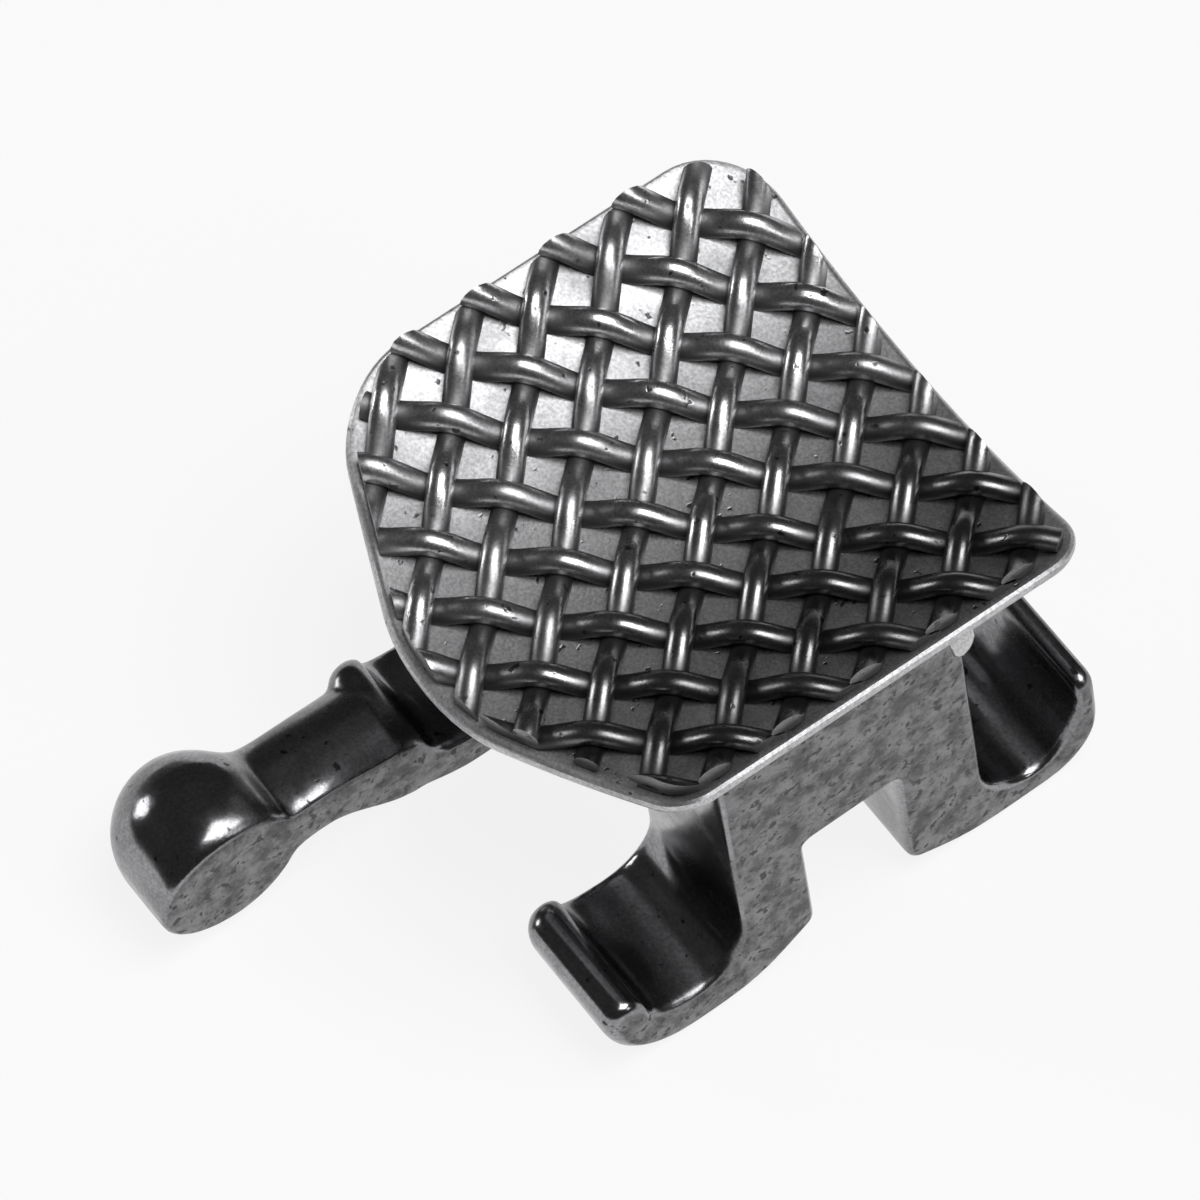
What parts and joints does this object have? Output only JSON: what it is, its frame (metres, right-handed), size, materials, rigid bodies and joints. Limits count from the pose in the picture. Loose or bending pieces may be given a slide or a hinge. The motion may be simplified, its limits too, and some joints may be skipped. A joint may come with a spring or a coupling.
{
  "type": "orthodontic bracket",
  "caption": "Metal twin orthodontic bracket with an archwire slot, tie wings, a ball hook and a woven mesh bonding pad.",
  "frame": {"origin": "middle of the archwire slot's floor", "axes": "+Z towards the tooth (the bonding side), X along the archwire slot, -Y towards the gum, where the hook is"},
  "size_m": [0.003, 0.0044, 0.0023],
  "materials": {
    "cast_steel": "tumbled and polished dark steel, matte and finely pitted on the sawn end faces",
    "mesh_steel": "satin woven steel wire on a bright foil"
  },
  "bodies": {
    "root": {"bracket_body": "cast_steel", "mesh_pad": "mesh_steel"}
  },
  "joints": []
}
